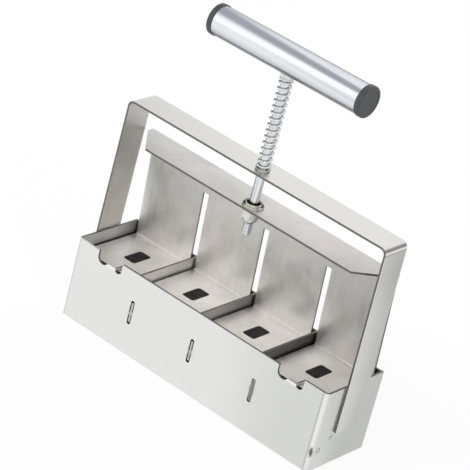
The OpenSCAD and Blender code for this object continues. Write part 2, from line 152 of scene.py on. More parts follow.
class StageSettings(bpy.types.PropertyGroup):
    floor_color: color_setting("Floor", "Colour of the floor", (0.92, 0.92, 0.92))
    room_level: FloatProperty(name="Room level", description="Light that the room gives from all sides",
                              default=0.62, min=0, max=2)
    shadow_share: FloatProperty(name="Shadow share", description="How much of the floor's own light and shade shows",
                                default=0.14, min=0, max=1, subtype="FACTOR")
    strip_color: color_setting("Overhead strip", "Colour of the dark strip overhead that the round metal mirrors",
                               (0.42, 0.43, 0.465))
    lens: FloatProperty(name="Lens", description="Focal length of the camera",
                        default=199.077, min=20, max=400, unit="CAMERA")


# ---------------------------------------------------------------- mesh making

def circle(count):
    """Cosine and sine at even steps round a circle."""
    turns = [2 * math.pi * step / count for step in range(count)]
    return [(math.cos(turn), math.sin(turn)) for turn in turns]


def finish_mesh(mesh, sharp=32):
    """Smooth faces, with edges sharper than the given angle in degrees kept crisp."""
    bm = bmesh.new()
    bm.from_mesh(mesh)
    bmesh.ops.recalc_face_normals(bm, faces=bm.faces)
    for face in bm.faces:
        face.smooth = True
    for edge in bm.edges:
        edge.smooth = len(edge.link_faces) == 2 and edge.calc_face_angle(0) < math.radians(sharp)
    bm.to_mesh(mesh)
    bm.free()
    return mesh


def raw_mesh(name, verts, faces):
    """Mesh from lists of points and faces."""
    mesh = bpy.data.meshes.new(name)
    mesh.from_pydata(verts, [], faces)
    return mesh


def add_piece(mesh, body, materials, stands_for=(), flat=False):
    """Puts a mesh in the scene as a piece that rides on a body; flat weights its normals, so that flats stay flat."""
    piece = bpy.data.objects.new(mesh.name, mesh)
    bpy.context.scene.collection.objects.link(piece)
    for material in materials:
        piece.data.materials.append(material)
    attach(piece, body)
    if stands_for:
        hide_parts(*stands_for)
    if flat:
        modifier = piece.modifiers.new("Weighted normals", "WEIGHTED_NORMAL")
        modifier.keep_sharp = True
        modifier.weight = 90
    return piece


def turned_mesh(name, profile, centre=(0, 0, 0), segments=96):
    """Revolves a closed profile of (radius, height) round an upright axis through centre."""
    verts, rings = [], []
    for radius, height in profile:
        ring = circle(segments) if radius >= POLE else [(0.0, 0.0)]
        rings.append(range(len(verts), len(verts) + len(ring)))
        verts += [(radius * c, radius * s, height) for c, s in ring]
    faces = []
    for here, there in zip(rings, rings[1:] + rings[:1]):
        if len(here) == 1 and len(there) == 1:
            continue
        for step in range(segments):
            after = (step + 1) % segments
            if len(here) == 1:
                faces.append((here[0], there[step], there[after]))
            elif len(there) == 1:
                faces.append((here[step], there[0], here[after]))
            else:
                faces.append((here[step], there[step], there[after], here[after]))
    mesh = raw_mesh(name, verts, faces)
    mesh.transform(Matrix.Translation(Vector(centre)))
    return finish_mesh(mesh)


def capped_tube(name, verts, count, sharp):
    """Closed mesh through rings of count points each."""
    last = len(verts) - count
    faces = []
    for a in range(0, last, count):
        for step in range(count):
            after = (step + 1) % count
            faces.append((a + step, a + after, a + count + after, a + count + step))
    faces += [tuple(range(count - 1, -1, -1)), tuple(range(last, last + count))]
    return finish_mesh(raw_mesh(name, verts, faces), sharp)


def rounded_profile(corners, steps=4):
    """Closed profile of (radius, height) through corners of (radius, height, rounding); 0 keeps a corner sharp."""
    out = []
    count = len(corners)
    points = [Vector(corner[:2]) for corner in corners]
    for i, here in enumerate(points):
        rounding = corners[i][2]
        if rounding <= 0:
            out.append(tuple(here))
            continue
        into = (points[i - 1] - here).normalized()
        away = (points[(i + 1) % count] - here).normalized()
        half = math.acos(max(-1, min(1, into.dot(away)))) / 2
        reach = rounding / math.tan(half)
        centre = here + (into + away).normalized() * rounding / math.sin(half)
        start, end = here + into * reach - centre, here + away * reach - centre
        sweep = math.atan2(start.x * end.y - start.y * end.x, start.dot(end))
        for step in range(steps + 1):
            turn = sweep * step / steps
            out.append((centre.x + start.x * math.cos(turn) - start.y * math.sin(turn),
                        centre.y + start.x * math.sin(turn) + start.y * math.cos(turn)))
    return out


def sheet_copy(name, node, edge_round, thickness=0, segments=2):
    """Mesh of a CAD node with its sharp edges rounded; where a sheet's thickness is given, its sheared edges
    take the second material."""
    same_point, flat, crisp_angle, sharp = 1e-6, math.radians(0.4), math.radians(35), 50
    bm = bmesh.new()
    bm.from_mesh(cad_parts[node].data)
    bmesh.ops.remove_doubles(bm, verts=bm.verts, dist=same_point)
    bmesh.ops.dissolve_limit(bm, angle_limit=flat, use_dissolve_boundaries=False, verts=bm.verts, edges=bm.edges)
    bmesh.ops.recalc_face_normals(bm, faces=bm.faces)
    tree = BVHTree.FromBMesh(bm)
    crisp = [edge for edge in bm.edges if len(edge.link_faces) == 2 and edge.calc_face_angle(0) > crisp_angle]
    if edge_round > 0:
        bmesh.ops.bevel(bm, geom=crisp, offset=edge_round, segments=segments, profile=0.5, affect="EDGES",
                        clamp_overlap=True)
    # a face is on a sheared edge where the metal behind it is deeper than the sheet is thick
    inset = edge_round * 1.5
    for face in bm.faces:
        corners = [vert.co for vert in face.verts]
        triangles = [[corners[i] for i in three] for three in tessellate_polygon([corners])]
        widest = max(triangles, key=lambda three: area_tri(*three), default=corners)
        inside = sum(widest, Vector()) / len(widest) - face.normal * inset
        hit = tree.ray_cast(inside, -face.normal)
        across = hit[3] + inset if hit[3] is not None else 1.0
        face.material_index = 1 if thickness and across > thickness * 1.25 else 0
    mesh = bpy.data.meshes.new(name)
    bm.to_mesh(mesh)
    bm.free()
    return finish_mesh(mesh, sharp)


def blob(bm, centre, size, seed, levels=3):
    """Adds a slightly irregular flattened bead to a bmesh."""
    swell_share, ripple_share = 0.18, 0.05
    made = bmesh.ops.create_icosphere(bm, subdivisions=levels, radius=1.0)
    for vert in made["verts"]:
        unit = vert.co.copy()
        swell = 1 + swell_share * noise.noise(unit * 1.7 + Vector((seed * 3.1, seed * 1.7, 0)))
        ripple = 1 + ripple_share * math.sin(unit.z * 9 + seed)
        vert.co = Vector(centre) + Vector((unit.x * size[0] * swell, unit.y * size[1] * ripple,
                                           unit.z * size[2] * swell))


# ---------------------------------------------------------------- shader nodes

def feed(tree, socket, value):
    """Links a socket to another one, or sets its value; a colour gets an alpha of 1."""
    if isinstance(value, bpy.types.NodeSocket):
        tree.links.new(value, socket)
    elif isinstance(value, tuple):
        socket.default_value = value + (1,) * (len(socket.default_value) - len(value))
    else:
        socket.default_value = value


def put(tree, kind, inputs=(), **settings):
    """Adds a shader node and feeds its inputs; gives its outputs."""
    node = tree.nodes.new("ShaderNode" + kind)
    for name, value in settings.items():
        setattr(node, name, value)
    for key, value in dict(inputs).items():
        feed(tree, node.inputs[key], value)
    return node.outputs


def math_node(tree, operation, *values, clamp=False):
    """One step of arithmetic."""
    return put(tree, "Math", enumerate(values), operation=operation, use_clamp=clamp)[0]


def times(tree, first, *others):
    """Product of values."""
    for other in others:
        first = math_node(tree, "MULTIPLY", first, other)
    return first


def spread(tree, value, low, high, out_low=0.0, out_high=1.0):
    """Maps a value from one span to another, smoothly and clamped."""
    spans = {"Value": value, "From Min": low, "From Max": high, "To Min": out_low, "To Max": out_high}
    return put(tree, "MapRange", spans, interpolation_type="SMOOTHSTEP")["Result"]


def stripe(tree, value, centre, inner, outer, share):
    """Soft-edged band round a centre: share up to inner from it, 0 from outer on."""
    away = math_node(tree, "ABSOLUTE", math_node(tree, "SUBTRACT", value, centre))
    return spread(tree, away, inner, outer, share, 0.0)


def mixed_color(tree, share, first, second):
    """Mix of two colours."""
    return put(tree, "Mix", {0: share, 6: first, 7: second}, data_type="RGBA")[2]


def mixed_shader(tree, share, first, second):
    """Mix of two shaders."""
    return put(tree, "MixShader", {0: share, 1: first, 2: second})[0]


def scaled(tree, vector, factor):
    """Vector or colour multiplied by a value."""
    return put(tree, "VectorMath", {0: vector, "Scale": factor}, operation="SCALE")[0]


def noise_node(tree, vector, scale=1.0, detail=3.0, rough=0.55, distortion=0.0):
    """Fractal noise from 0 to 1."""
    return put(tree, "TexNoise", {"Vector": vector, "Scale": scale, "Detail": detail, "Roughness": rough,
                                  "Distortion": distortion})["Fac"]


def object_place(tree):
    """Place on the object."""
    return put(tree, "TexCoord")["Object"]


def object_axes(tree):
    """Place on the object as separate X, Y and Z."""
    return put(tree, "SeparateXYZ", {0: object_place(tree)})


# ---------------------------------------------------------------- node groups shared by the materials

def rolled_grain(tree, given):
    """Fine lines of rolled or drawn metal, with a slow mottle over them."""
    place = object_place(tree)
    stretched = put(tree, "VectorMath", {0: place, 1: given["Grain Stretch"]}, operation="MULTIPLY")[0]
    grain = noise_node(tree, stretched, detail=4.0, rough=0.65)
    mottle = noise_node(tree, scaled(tree, place, given["Mottle Scale"]), rough=0.6, distortion=0.6)
    grain_part = times(tree, math_node(tree, "SUBTRACT", grain, 0.5), given["Grain Share"])
    mottle_part = times(tree, math_node(tree, "SUBTRACT", mottle, 0.5), given["Mottle Share"])
    factor = math_node(tree, "ADD", 1.0, times(tree, math_node(tree, "ADD", grain_part, mottle_part), 2.0))
    both = math_node(tree, "ADD", times(tree, grain, 0.6), times(tree, mottle, 0.4))
    rough = spread(tree, both, 0.3, 0.7, given["Roughness Low"], given["Roughness High"])
    return scaled(tree, given["Tone"], factor), rough, grain


def handling_marks(tree, given):
    """Faint smudges and fine crossing scratches from use."""
    place = object_place(tree)
    wide = scaled(tree, place, given["Smudge Scale"])
    smudge = spread(tree, noise_node(tree, wide, detail=5.0, rough=0.7, distortion=1.2), 0.52, 0.72)
    turned = put(tree, "Mapping", {"Vector": place, "Rotation": (0.3, 0.5, 0.7), "Scale": (1.0, 14.0, 1.0)})[0]
    fine = scaled(tree, turned, given["Scratch Scale"])
    scratch = spread(tree, noise_node(tree, fine, detail=2.0, rough=0.5), 0.66, 0.74)
    return times(tree, smudge, given["Amount"]), times(tree, scratch, given["Amount"])


def heat_spot(tree, given):
    """Soft-edged mark round one point, for the tint that welding leaves."""
    place = object_place(tree)
    away = put(tree, "VectorMath", {0: place, 1: given["Centre"]}, operation="SUBTRACT")[0]
    shaped = put(tree, "VectorMath", {0: away, 1: given["Stretch"]}, operation="MULTIPLY")[0]
    length = put(tree, "VectorMath", {0: shaped}, operation="LENGTH")["Value"]
    ragged = times(tree, math_node(tree, "SUBTRACT", noise_node(tree, place, 900.0), 0.5), 0.9)
    edge = math_node(tree, "ADD", math_node(tree, "DIVIDE", length, given["Radius"]), ragged)
    return (spread(tree, edge, 0.55, 1.05, 1.0, 0.0),)


def moulded_grain(tree, given):
    """Fine moulded texture of plastic, with a slight change of shade."""
    place = object_place(tree)
    grain = noise_node(tree, scaled(tree, place, given["Grain Scale"]), detail=2.0, rough=0.5)
    slow = noise_node(tree, place, 120.0, 4.0, 0.6)
    shade = times(tree, math_node(tree, "SUBTRACT", slow, 0.5), times(tree, given["Shade Share"], 2.0))
    rough = spread(tree, slow, 0.3, 0.7, given["Roughness Low"], given["Roughness High"])
    return scaled(tree, given["Tone"], math_node(tree, "ADD", 1.0, shade)), rough, grain


def fade_along(tree, given):
    """Colour multiplied along one direction: by 1 at the start, by the factor at the end."""
    along = put(tree, "VectorMath", {0: object_place(tree), 1: given["Direction"]}, operation="DOT_PRODUCT")["Value"]
    factor = spread(tree, along, given["Start"], given["End"], 1.0, given["Factor"])
    return (scaled(tree, given["Tone"], factor),)


def tint_patches(tree, given):
    """Broad soft patches where a sheet shows a second tint."""
    return (spread(tree, noise_node(tree, object_place(tree), given["Scale"], 3.0, 0.6, 0.8), 0.42, 0.66),)


# Each group: what fills it, its inputs with their defaults, and its outputs
GROUPS = {
    "Rolled grain": (rolled_grain, {"Tone": (0.7, 0.7, 0.7, 1), "Grain Stretch": (100, 4000, 100), "Grain Share": 0.1,
                                    "Mottle Scale": 30.0, "Mottle Share": 0.1, "Roughness Low": 0.25,
                                    "Roughness High": 0.4}, ("Color", "Roughness", "Height")),
    "Handling marks": (handling_marks, {"Smudge Scale": 18.0, "Scratch Scale": 220.0, "Amount": 0.5},
                       ("Smudge", "Scratch")),
    "Heat mark": (heat_spot, {"Centre": (0, 0, 0), "Stretch": (1, 1, 1), "Radius": 0.004}, ("Mask",)),
    "Moulded grain": (moulded_grain, {"Tone": (0.05, 0.05, 0.05, 1), "Grain Scale": 2600.0, "Shade Share": 0.18,
                                      "Roughness Low": 0.4, "Roughness High": 0.6}, ("Color", "Roughness", "Height")),
    "Fade along": (fade_along, {"Tone": (0.7, 0.7, 0.7, 1), "Direction": (0, 0, 1), "Start": 0.0, "End": 0.1,
                                "Factor": 1.0}, ("Color",)),
    "Tint patches": (tint_patches, {"Scale": 22.0}, ("Mask",)),
}
SOCKET_KINDS = {3: "NodeSocketVector", 4: "NodeSocketColor"}
AXES = {"X": (1, 0, 0), "Y": (0, 1, 0), "Z": (0, 0, 1)}


def shared_group(name):
    """The named node group, made when it is first asked for."""
    if name in bpy.data.node_groups:
        return bpy.data.node_groups[name]
    fill, inputs, outputs = GROUPS[name]
    group = bpy.data.node_groups.new(name, "ShaderNodeTree")
    for label, value in inputs.items():
        kind = SOCKET_KINDS[len(value)] if isinstance(value, tuple) else "NodeSocketFloat"
        group.interface.new_socket(name=label, in_out="INPUT", socket_type=kind).default_value = value
    for label in outputs:
        kind = "NodeSocketColor" if label == "Color" else "NodeSocketFloat"
        group.interface.new_socket(name=label, in_out="OUTPUT", socket_type=kind)
    given = group.nodes.new("NodeGroupInput").outputs
    result = group.nodes.new("NodeGroupOutput").inputs
    for label, socket in zip(outputs, fill(group, given)):
        group.links.new(socket, result[label])
    return group


def place_group(tree, name, **values):
    """Places a shared node group with its inputs set; gives its outputs."""
    inputs = {label.replace("_", " "): value for label, value in values.items()}
    return put(tree, "Group", inputs, node_tree=shared_group(name))


# ---------------------------------------------------------------- finishes

# Each finish: stretch of the grain along X, Y and Z, shares of grain and mottle in the colour, scale of the mottle,
# span of roughness, amount of handling marks, strength of the bump
Finish = namedtuple("Finish", "stretch grain mottle mottle_scale rough marks bump")
EVEN = (900, 900, 900)
WALL = Finish((24, 2400, 2400), 0.004, 0.03, 12.0, (0.2, 0.3), 0.2, 0.004)
EDGE = Finish(EVEN, 0.25, 0.2, 160.0, (0.35, 0.5), 0.2, 0.3)
INNER = Finish(EVEN, 0.06, 0.2, 60.0, (0.5, 0.66), 0.7, 0.05)
DIVIDER = Finish((2600, 60, 2600), 0.05, 0.16, 50.0, (0.5, 0.65), 0.5, 0.04)
WASHED = Finish(EVEN, 0.08, 0.3, 260.0, (0.25, 0.4), 0.3, 0.1)
BEAD = Finish((500, 500, 500), 0.2, 0.3, 400.0, (0.25, 0.45), 0.2, 0.4)
DULL_BEAD = Finish((500, 500, 500), 0.2, 0.5, 300.0, (0.3, 0.5), 0.3, 0.4)
STRAP = Finish((60, 4200, 4200), 0.02, 0.04, 14.0, (0.22, 0.34), 0.25, 0.03)
STRAP_INNER = Finish((2400, 2400, 50), 0.1, 0.2, 40.0, (0.36, 0.5), 0.5, 0.03)
PRESS = Finish((340, 340, 24), 0.13, 0.32, 31.0, (0.36, 0.48), 0.45, 0.02)
TURNED = Finish((1500, 1500, 50), 0.22, 0.05, 60.0, (0.08, 0.16), 0.2, 0.05)
NICKEL = Finish((700, 700, 700), 0.05, 0.16, 260.0, (0.10, 0.2), 0.3, 0.1)
ROD = Finish((620, 620, 16), 0.55, 0.06, 60.0, (0.12, 0.22), 0.25, 0.05)
COLLAR = Finish((2600, 2600, 60), 0.04, 0.05, 120.0, (0.2, 0.32), 0.3, 0.04)
WIRE = Finish(EVEN, 0.06, 0.08, 150.0, (0.14, 0.24), 0.2, 0.05)
TUBE = Finish((60, 3000, 3000), 0.04, 0.04, 30.0, (0.1, 0.16), 0.3, 0.03)


def shaded(tone, gain):
    """Colour made lighter or darker."""
    return tuple(min(1, gain * c) for c in tone)


def blank_material(name):
    """New material with its tree and its Principled BSDF's inputs."""
    material = bpy.data.materials.new(name)
    material.use_nodes = True
    tree = material.node_tree
    return material, tree, tree.nodes["Principled BSDF"].inputs


def bumped(tree, height, strength, distance):
    """Normal that a height gives."""
    return put(tree, "Bump", {"Strength": strength, "Distance": distance, "Height": height})["Normal"]


def metal(name, tone, finish, steps=(), tint=None, edge_tint=None, metallic=1.0):
    """Metal with a rolled or drawn grain and handling marks, whose colour each step then works on."""
    if name in bpy.data.materials:
        return bpy.data.materials[name]
    tone = tuple(tone)
    material, tree, shader = blank_material(name)
    grained = place_group(tree, "Rolled grain", Tone=tone, Grain_Stretch=finish.stretch, Grain_Share=finish.grain,
                          Mottle_Scale=finish.mottle_scale, Mottle_Share=finish.mottle,
                          Roughness_Low=finish.rough[0], Roughness_High=finish.rough[1])
    handled = place_group(tree, "Handling marks", Amount=finish.marks)
    color = grained["Color"]
    if tint:
        hue, share = tint
        patch = place_group(tree, "Tint patches")["Mask"]
        color = mixed_color(tree, times(tree, patch, share), color, hue)
    for mark, share, gain in (("Smudge", 0.25, 0.72), ("Scratch", 0.18, 1.15)):
        color = mixed_color(tree, times(tree, handled[mark], share), color, shaded(tone, gain))
    for step in steps:
        color = step(tree, color, tone)
    dulled = times(tree, handled["Smudge"], 0.12)
    feed(tree, shader["Metallic"], metallic)
    if edge_tint:
        feed(tree, shader["Specular Tint"], edge_tint)
    feed(tree, shader["Base Color"], color)
    feed(tree, shader["Roughness"], math_node(tree, "ADD", grained["Roughness"], dulled, clamp=True))
    feed(tree, shader["Normal"], bumped(tree, grained["Height"], finish.bump, BUMP_DEPTH))
    return material


def plastic(name, tone, rough, shine=0.5):
    """Moulded plastic with a fine texture and some dust."""
    if name in bpy.data.materials:
        return bpy.data.materials[name]
    tone = tuple(tone)
    material, tree, shader = blank_material(name)
    grained = place_group(tree, "Moulded grain", Tone=tone, Roughness_Low=rough[0], Roughness_High=rough[1])
    handled = place_group(tree, "Handling marks", Amount=0.5)
    dust = tuple(min(1, 1.9 * c + 0.02) for c in tone)
    feed(tree, shader["Specular IOR Level"], shine)
    feed(tree, shader["Base Color"], mixed_color(tree, times(tree, handled["Smudge"], 0.12), grained["Color"], dust))
    feed(tree, shader["Roughness"], grained["Roughness"])
    feed(tree, shader["Normal"], bumped(tree, grained["Height"], 0.25, 1.5 * BUMP_DEPTH))
    return material


# Each of these gives a step for metal()

def fade(axis, start, end, factor):
    """Multiplies the colour along an axis, by 1 at start and by factor at end, both in metres."""
    def step(tree, color, tone):
        return place_group(tree, "Fade along", Tone=color, Direction=AXES[axis], Start=start, End=end,
                           Factor=factor)["Color"]
    return step


def heat_mark(centre, stretch, radius, hue, share):
    """Tint that a weld leaves round a point."""
    def step(tree, color, tone):
        mask = place_group(tree, "Heat mark", Centre=centre, Stretch=stretch, Radius=radius)["Mask"]
        return mixed_color(tree, times(tree, mask, share), color, hue)
    return step


def painted_dark_rim(hue, start, end):
    """Painted shade where round metal turns away from the eye."""
    def step(tree, color, tone):
        facing = put(tree, "LayerWeight", {"Blend": 0.5})["Facing"]
        return mixed_color(tree, spread(tree, facing, start, end), color, hue)
    return step


# Each of these is a step for metal()

def painted_bend_light(tree, color, tone):
    """Front wall's corner bends: a painted shade line and a painted highlight before the right one, and a painted dark
    outline along the left one.
    """
    low, high = node_box("mould_wrap")
    axes = object_axes(tree)
    on_front = spread(tree, axes["Y"], low.y + 0.3 * MM, low.y + 1.2 * MM, 1.0, 0.0)
    # inset from the end, inner and outer half width in mm, share, gain
    # the darker line is painted shade and the lighter one a painted highlight of the right bend
    for inset, inner, outer, share, gain in ((3.5, 0.15, 0.975, 0.75, 0.70), (2.225, 0.12, 0.78, 0.8, 1.22)):
        line = stripe(tree, axes["X"], high.x - inset * MM, inner * MM, outer * MM, share)
        color = mixed_color(tree, times(tree, line, on_front), color, shaded(tone, gain))
    # painted dark outline along the left bend
    outline = times(tree, spread(tree, axes["X"], 3.2 * MM - high.x, 0.6 * MM - high.x),
                    spread(tree, axes["Y"], low.y + 1.6 * MM, low.y + 3 * MM, 1.0, 0.0))
    return mixed_color(tree, outline, color, shaded(tone, 0.6))


def painted_leg_light(tree, color, tone):
    """Right leg of the bail: a painted highlight along its front edge, painted shade to the rear and the top, and
    painted shade and highlight lines at its bend.
    """
    low, high = node_box("bail_handle")
    axes = object_axes(tree)
    on_leg = times(tree, spread(tree, axes["X"], high.x - 6 * MM, high.x - 3.6 * MM),
                   spread(tree, axes["Z"], high.z - 7 * MM, high.z - 3 * MM, 1.0, 0.0))
    # painted light and shade across the leg: lighter at the front, darker to the rear and the top
    gain = times(tree, spread(tree, axes["Y"], low.y + 3 * MM, high.y - 3 * MM, 1.12, 0.97),
                 spread(tree, axes["Z"], 100 * MM, 138 * MM, 1.0, 0.86))
    color = mixed_color(tree, on_leg, color, scaled(tree, color, gain))
    # painted highlight along the leg's front edge
    painted_edge_highlight = times(tree, on_leg, spread(tree, axes["Y"], low.y + 0.6 * MM, low.y + 1.4 * MM, 0.8, 0.0))
    color = mixed_color(tree, painted_edge_highlight, color, shaded(tone, 1.28))
    on_right = spread(tree, axes["X"], high.x - 7 * MM, high.x - 5.5 * MM)
    # painted shade and highlight lines at the bend; drop from the top, inner and outer half width in mm, gain
    for drop, inner, outer, gain in ((1.8, 0.33, 1.32, 0.24), (3.3, 0.15, 0.6, 1.25), (4.7, 0.18, 0.72, 0.66)):
        line = stripe(tree, axes["Z"], high.z - drop * MM, inner * MM, outer * MM, 0.9)
        color = mixed_color(tree, times(tree, line, on_right), color, shaded(tone, gain))
    return color


def painted_rim_glint(tree, color, tone):
    """Painted highlight on the left end of the front wall's top rim."""
    low, high = node_box("mould_wrap")
    axes = object_axes(tree)
    mask = times(tree, spread(tree, axes["X"], low.x + 18.7 * MM, low.x + 18.0 * MM),
                 spread(tree, axes["Y"], low.y + 1.8 * MM, low.y + 1.5 * MM),
                 spread(tree, axes["Z"], high.z - 1.2 * MM, high.z - 0.6 * MM))
    return mixed_color(tree, mask, color, (0.82, 0.81, 0.79))


# Materials that more than one piece wears

def sheared_edge():
    """Dark sheared edges of the sheets, with a painted highlight on the front wall's left rim."""
    return metal("Sheared steel edge", bpy.context.scene.blocker_sheet.edge_color, EDGE, [painted_rim_glint])


def inner_steel(node):
    """Inner faces, which soil has scoured, with painted shade: darker towards the back, a painted dark band where the
    plates rest, and a much darker rear wall.
    """
    # the rear wall takes a much darker share, painted shade in the corner behind the plates
    share, metallic = (0.95, 0.3) if node == "mould_wrap" else (0.35, 1.0)
    # painted shade: darker towards the back, and a dark band from 48.8 mm down to 45 mm where the plates meet the walls
    steps = [fade("Y", 4 * MM, 26 * MM, 0.5), fade("Z", 48.8 * MM, 47.6 * MM, 0.2), fade("Z", 46 * MM, 45 * MM, 5.0)]
    tone = shaded(bpy.context.scene.blocker_sheet.inner_color, share)
    return metal("Inner steel of " + node, tone, INNER, steps, metallic=metallic)


def press_steel():
    """Mottled sheet of the press, with painted light and shade: lighter at the top and on the lower web, a little
    darker at the plates, and darker towards both ends; also on the tops of the two stop tabs, which so take the plates'
    lit tone.
    """
    # painted light and shade by height, and painted shade towards both ends
    shades = (("Z", 118, 124, 1.08), ("Z", 108, 66, 1.38), ("Z", 60, 55, 0.95), ("X", -48, -92, 0.92),
              ("X", 48, 96, 0.84))
    steps = [fade(axis, start * MM, end * MM, factor) for axis, start, end, factor in shades]
    return metal("Press sheet steel", bpy.context.scene.blocker_sheet.press_color, PRESS, steps,
                 tint=((0.72, 0.655, 0.645), 0.42))


def turned_steel():
    """Brighter turned steel of the lock nut and the guide bush."""
    return metal("Turned steel", (0.70, 0.69, 0.65), TURNED, [painted_dark_rim((0.12, 0.115, 0.10), 0.45, 0.85)],
                 edge_tint=(0.2, 0.2, 0.18))


def nickel_plating():
    """Dull plating of the collar and the washer."""
    return metal("Nickel plating", bpy.context.scene.blocker_fasteners.plating_color, NICKEL,
                 [painted_dark_rim((0.10, 0.10, 0.08), 0.35, 0.75)], edge_tint=(0.2, 0.2, 0.18))


def black_plastic():
    """Seed pegs and the nut's insert."""
    return plastic("Black moulded plastic", bpy.context.scene.blocker_grip.black_color, (0.5, 0.7), 0.25)


# ---------------------------------------------------------------- operators, one for each piece or group

class BuildMould(bpy.types.Operator):
    """Dress the box walls, with rounded sheet edges and heat marks at the welds"""
    bl_idname = "soil_blocker.mould"
    bl_label = "Mould walls"

    def execute(self, context):
        s = context.scene.blocker_sheet
        low, high = node_box("mould_wrap")
        corner_z = 13.9 * MM
        # the bend lines are painted highlight and shade; the heat marks are weld tint
        steps = [painted_bend_light,
                 heat_mark((high.x - 1.4 * MM, low.y, corner_z), (1, 1, 0.4), 2.2 * MM, STRAW, 0.4),
                 heat_mark((high.x - 1.0 * MM, low.y, corner_z), (1.35, 1, 0.42), 1.9 * MM, BURN, 0.92),
                 heat_mark((high.x, low.y + SPOT[0], SPOT[1]), (1, 1, 1), 1.6 * MM, STRAW, 0.25)]
        for node in DIVIDERS:
            steps.append(heat_mark((node_middle(node).x, low.y, SLOT_Z), (1, 1, 0.5), 3.4 * MM, STRAW, 0.35))
        wall = metal("Box wall steel", s.wall_color, WALL, steps)
        for node in ("mould_wrap", "rear_wall"):
            mesh = sheet_copy(node + "_dressed", node, s.edge_round, SHEET)
            for polygon in mesh.polygons:
                at = polygon.center
                within = abs(at.x) < high.x - 1.2 * MM and abs(at.y) < high.y - 1.2 * MM
                if polygon.material_index == 0 and within:
                    polygon.material_index = 2
                # faces turned up, such as the stop tabs' tops, take the press steel so that they show the plates' lit
                # tone, painted light
                if polygon.material_index != 1 and polygon.normal.z > 0.8:
                    polygon.material_index = 3
            materials = [wall, sheared_edge(), inner_steel(node), press_steel()]
            add_piece(mesh, "mould", materials, [node], flat=True)
        return {"FINISHED"}


class BuildDividers(bpy.types.Operator):
    """Dress the three dividers between the cells"""
    bl_idname = "soil_blocker.dividers"
    bl_label = "Dividers"

    def execute(self, context):
        s = context.scene.blocker_sheet
        front = node_box("mould_wrap")[0].y
        # share of the inner steel's colour, which gives lighter and darker copies of one steel as painted light and
        # shade, its painted shade to the back, and the share of the wall's colour at the weld
        shades = ((1.42, 0.8, 0.7), (0.9, 0.5, 0.66), (0.32, 0.5, 0.5))
        for node, (share, painted_rear_shade, washed_share) in zip(DIVIDERS, shades):
            washed = metal("Weld-washed edge of " + node, shaded(s.wall_color, washed_share), WASHED)
            steel = metal("Steel of " + node, shaded(s.inner_color, share), DIVIDER,
                          [fade("Y", -18 * MM, 24 * MM, painted_rear_shade)])
            mesh = sheet_copy(node + "_dressed", node, s.edge_round, SHEET)
            for polygon in mesh.polygons:
                if polygon.material_index == 1 and abs(polygon.center.y) > -front - 0.6 * MM:
                    polygon.material_index = 2
            add_piece(mesh, "mould", [steel, sheared_edge(), washed], [node], flat=True)
        return {"FINISHED"}


class BuildWelds(bpy.types.Operator):
    """Make the weld beads that hold the dividers, the rear wall and the bail"""
    bl_idname = "soil_blocker.welds"
    bl_label = "Weld beads"

    def execute(self, context):
        s = context.scene.blocker_welds
        low, high = node_box("mould_wrap")
        foot = node_box("bail_handle")[0]
        bm = bmesh.new()
        seed = 1
        bead_in = 0.5 * MM
        for node in DIVIDERS:
            full = node == "divider_right"
            half_width, half_height = (2.3 * MM, 8.9 * MM) if full else (1.7 * MM, s.bead_length / 2)
            bead_z = SLOT_Z if full else 28 * MM
            for face_y in (low.y, high.y):
                seed += 1
                inward = bead_in if face_y < 0 else -bead_in
                blob(bm, (node_middle(node).x, face_y + inward, bead_z),
                     (half_width, bead_in + s.bead_stand, half_height), seed)
        for side in (-1, 1):
            for height in (6, 28, 50):
                seed += 1
                blob(bm, (side * (high.x - SHEET), high.y - 0.25 * MM, height * MM),
                     (0.8 * MM, 0.45 * MM, 2.6 * MM), seed)
        self.ring(bm, Vector((high.x, low.y + SPOT[0], SPOT[1])), 1.7 * MM, 0.2 * MM)
        # each drop of spatter: place before the bail's foot, height and size, in mm
        spatter = ((-3.6, 20.9, 0.36), (-2.4, 21.6, 0.45), (-1.2, 22.2, 0.38), (-2.9, 19.4, 0.34),
                   (-1.6, 20.1, 0.42), (-0.6, 20.9, 0.3))
        for side in (-1, 1):
            for forward, height, size in spatter:
                seed += 1
                blob(bm, (side * high.x, foot.y + forward * MM, height * MM),
                     (size * 0.7 * MM, size * MM, size * MM), seed, levels=2)
            for forward in (3.5, 9.5, 15.5):
                seed += 1
                blob(bm, (side * (high.x + 0.15 * MM), foot.y + forward * MM, foot.z),
                     (0.5 * MM, 1.7 * MM, 0.45 * MM), seed)
        mesh = bpy.data.meshes.new("weld_beads")
        bm.to_mesh(mesh)
        bm.free()
        bead = metal("Weld bead", s.bead_color, BEAD)
        dull = metal("Dull weld bead", shaded(s.bead_color, 0.55), DULL_BEAD)
        for polygon in mesh.polygons:
            at = polygon.center
            by_spot = at.x > high.x - 0.05 * MM and at.y < foot.y and at.z < 24 * MM
            in_right_slot = at.x > 30 * MM and at.y < low.y + 2 * MM
            polygon.material_index = 1 if by_spot or in_right_slot else 0
        add_piece(finish_mesh(mesh, 80), "mould", [bead, dull])
        return {"FINISHED"}

    def ring(self, bm, centre, radius, wire):
        """Fine raised ring that a spot welder leaves on the end wall."""
        rings = []
        for c, s in circle(40):
            rings.append([bm.verts.new(centre + Vector((wire * 0.6 * up, (radius + wire * out) * c,
                                                        (radius + wire * out) * s))) for out, up in circle(8)])
        for here, there in zip(rings, rings[1:] + rings[:1]):
            for side in range(len(here)):
                after = (side + 1) % len(here)
                bm.faces.new((here[side], here[after], there[after], there[side]))


